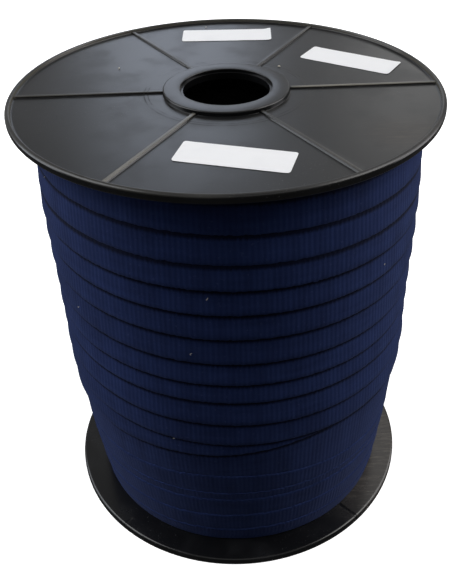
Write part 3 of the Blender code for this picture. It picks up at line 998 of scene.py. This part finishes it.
lint = {
    "radius": 0.16 * mm,
    "faceRadius": 0.30 * mm,
    "points": 7,
    "sides": 6,
    "bend": 0.5,
    "arch": 0.15,
    "taper": 0.6,
    "tilt": 1.2,
    "aboveTape": 0.15 * mm,
    "seed": 4,
}
TapeLint = namedtuple("TapeLint", "angle z length")
tapeLint = [
    TapeLint(-96.8, 0.1809, 1.5 * mm), TapeLint(-102.2, 0.1498, 1.4 * mm),
    TapeLint(-110.0, 0.0920, 1.1 * mm), TapeLint(-141.3, 0.1526, 1.0 * mm),
    TapeLint(-43.5, 0.1752, 0.9 * mm), TapeLint(-146.3, 0.2171, 1.2 * mm),
]
FaceLint = namedtuple("FaceLint", "x y length")
faceLint = [
    FaceLint(-0.0526, 0.0308, 1.3 * mm), FaceLint(0.0263, 0.0272, 1.5 * mm),
    FaceLint(-0.0101, 0.0889, 0.9 * mm),
]


def fibre(bm, center, along, out, length, radius, random):
    side = out.cross(along).normalized()
    bend = random.uniform(-lint["bend"], lint["bend"])
    rings = []
    for step in range(lint["points"]):
        t = step / (lint["points"] - 1) - 0.5
        middle = center + along * (length * t) + side * (length * bend * (4.0 * t * t - 0.5))
        middle = middle + out * (length * lint["arch"] * (1.0 - 4.0 * t * t))
        size = radius * (1.0 - lint["taper"] * abs(2.0 * t))
        ring = []
        for corner in range(lint["sides"]):
            turn = fullTurn * corner / lint["sides"]
            spoke = side * (size * math.cos(turn)) + out * (size * math.sin(turn))
            ring.append(bm.verts.new(middle + spoke))
        rings.append(ring)
    for first, second in zip(rings, rings[1:]):
        for corner in range(lint["sides"]):
            other = (corner + 1) % lint["sides"]
            bm.faces.new([first[corner], first[other], second[other], second[corner]])
    bm.faces.new(rings[0])
    bm.faces.new(rings[-1])


def lintMesh():
    random = np.random.default_rng(lint["seed"])
    upwards = Vector((0.0, 0.0, 1.0))
    tapeRadius = tape["windingRadius"] + tape["thickness"] + lint["aboveTape"]
    faceZ = spool["height"] - spool["faceDepth"] + lint["faceRadius"]
    bm = bmesh.new()
    for speck in tapeLint:
        turn = math.radians(speck.angle)
        out = Vector((math.cos(turn), math.sin(turn), 0.0))
        tilt = random.uniform(-lint["tilt"], lint["tilt"])
        around = Vector((-math.sin(turn), math.cos(turn), 0.0))
        along = around * math.cos(tilt) + upwards * math.sin(tilt)
        center = out * tapeRadius + upwards * speck.z
        fibre(bm, center, along, out, speck.length, lint["radius"], random)
    for speck in faceLint:
        tilt = random.uniform(0.0, math.pi)
        along = Vector((math.cos(tilt), math.sin(tilt), 0.0))
        center = Vector((speck.x, speck.y, faceZ))
        fibre(bm, center, along, upwards, speck.length, lint["faceRadius"], random)
    bmesh.ops.recalc_face_normals(bm, faces=bm.faces)
    mesh = bpy.data.meshes.new("lint")
    bm.to_mesh(mesh)
    bm.free()
    return mesh


finished("lint", lintMesh(), lintFibre)
print("lint added")


# Floor, lights, world and camera

studio = {
    "floorSize": 8.0,
    "floorColor": (0.92, 0.92, 0.92, 1.0),
    "floorShade": (0.85, 0.85, 0.85, 1.0),
    "floorGlow": 0.75,
    "ambient": 0.075,
    "backLight": 0.30,
    "backEdge": (0.05, 0.45),
    "backRise": (-0.15, 0.10),
    "highLight": 0.85,
    "highEdge": (0.45, 0.80),
    "highSide": (-0.25, 0.20),
    "worldShown": 1.30,
}
SoftLight = namedtuple("SoftLight", "name place target width height power color")
softLights = [
    SoftLight("back", (-0.13, 1.55, 0.85), (0, 0, 0.2), 0.40, 0.50, 1.4, (0.74, 0.83, 1.00)),
    SoftLight("backRight", (0.50, 1.50, 0.80), (0, 0, 0.2), 0.35, 0.40, 0.5, (1.0, 1.0, 1.0)),
    SoftLight("highLeft", (-1.25, -0.05, 1.45), (0, 0, 0.2), 1.0, 1.0, 13.0, (0.97, 0.98, 1.00)),
    SoftLight("highRight", (1.25, -0.05, 1.45), (0, 0, 0.2), 1.0, 1.0, 13.5, (1.00, 0.99, 0.97)),
    SoftLight("left", (-1.30, 0.25, 0.50), (0, 0, 0.12), 0.8, 0.9, 5.5, (0.90, 0.94, 1.00)),
    SoftLight("right", (1.30, 0.25, 0.45), (0, 0, 0.12), 0.8, 0.9, 5.5, (0.98, 0.97, 1.00)),
    SoftLight("front", (0.0, -1.10, 1.70), (0, 0, 0.1), 2.0, 1.0, 2.5, (1.0, 1.0, 1.0)),
]


def floorShader(tree):
    place = tree.node("ShaderNodeTexCoord", {}, {}, "Object")
    tones = tree.noise(place, 3.0, 2.0)
    color = tree.mixColor(0.03 * tones, studio["floorColor"], studio["floorShade"])
    return principled(tree, {
        "Base Color": color, "Roughness": 0.9, "Specular IOR Level": 0.1,
        "Emission Color": (1.0, 1.0, 1.0, 1.0), "Emission Strength": studio["floorGlow"],
    })


def addFloor():
    half = 0.5 * studio["floorSize"]
    mesh = bpy.data.meshes.new("floor")
    corners = [(-half, -half, 0), (half, -half, 0), (half, half, 0), (-half, half, 0)]
    mesh.from_pydata(corners, [], [(0, 1, 2, 3)])
    floor = bpy.data.objects.new("floor", mesh)
    bpy.context.scene.collection.objects.link(floor)
    mesh.materials.append(newMaterial("pale floor", floorShader))
    floor.visible_glossy = False
    floor.visible_diffuse = False


def addLights():
    for light in softLights:
        data = bpy.data.lights.new(light.name, "AREA")
        data.shape = "RECTANGLE"
        data.size, data.size_y = light.width, light.height
        data.energy = light.power
        data.color = light.color
        lamp = bpy.data.objects.new(light.name, data)
        lamp.location = light.place
        aim = Vector(light.target) - Vector(light.place)
        lamp.rotation_euler = aim.to_track_quat("-Z", "Y").to_euler()
        bpy.context.scene.collection.objects.link(lamp)


def addWorld():  # pale where the camera sees it, and soft light from behind and above elsewhere
    world = bpy.data.worlds.new("studio")
    world.use_nodes = True
    world.node_tree.nodes.clear()
    tree = Tree(world.node_tree)
    direction = tree.node("ShaderNodeTexCoord", {}, {}, "Generated")
    x, y, z = [tree.split(direction, axis) for axis in "XYZ"]
    behind = tree.step(y, *studio["backEdge"]) * tree.step(z, *studio["backRise"])
    high = tree.step(z, *studio["highEdge"]) * tree.step(x, *studio["highSide"])
    light = studio["ambient"] + behind * (studio["backLight"] + studio["highLight"] * high)
    shown = tree.node("ShaderNodeLightPath", {}, {}, "Is Camera Ray")
    strength = shown * studio["worldShown"] + (1.0 - shown) * light
    tree.node("ShaderNodeOutputWorld", {}, {
        "Surface": tree.node("ShaderNodeBackground", {}, {"Strength": strength}),
    })
    bpy.context.scene.world = world
    bpy.context.scene.view_settings.view_transform = "Standard"


view = {
    "place": (0.0, -0.33375, 0.36672),
    "pan": 0.0276,
    "pitch": 0.6829,
    "roll": -0.0188,
    "lens": 45.79,
    "sensor": 36.0,
    "shift": (-0.0421, 0.0437),
}


def addCamera():
    pan, pitch, roll = view["pan"], view["pitch"], view["roll"]
    forward = Vector((math.sin(pan) * math.cos(pitch), math.cos(pan) * math.cos(pitch), -math.sin(pitch)))
    flatRight = Vector((math.cos(pan), -math.sin(pan), 0.0))
    flatUp = flatRight.cross(forward)
    right = math.cos(roll) * flatRight + math.sin(roll) * flatUp
    up = -math.sin(roll) * flatRight + math.cos(roll) * flatUp
    data = bpy.data.cameras.new("camera")
    data.sensor_width = view["sensor"]
    data.lens = view["lens"]
    data.shift_x, data.shift_y = view["shift"]
    camera = bpy.data.objects.new("camera", data)
    turn = Matrix((right, up, -forward)).transposed().to_4x4()
    camera.matrix_world = Matrix.Translation(view["place"]) @ turn
    bpy.context.scene.collection.objects.link(camera)
    bpy.context.scene.camera = camera


addFloor()
addLights()
addWorld()
addCamera()
print("studio set")
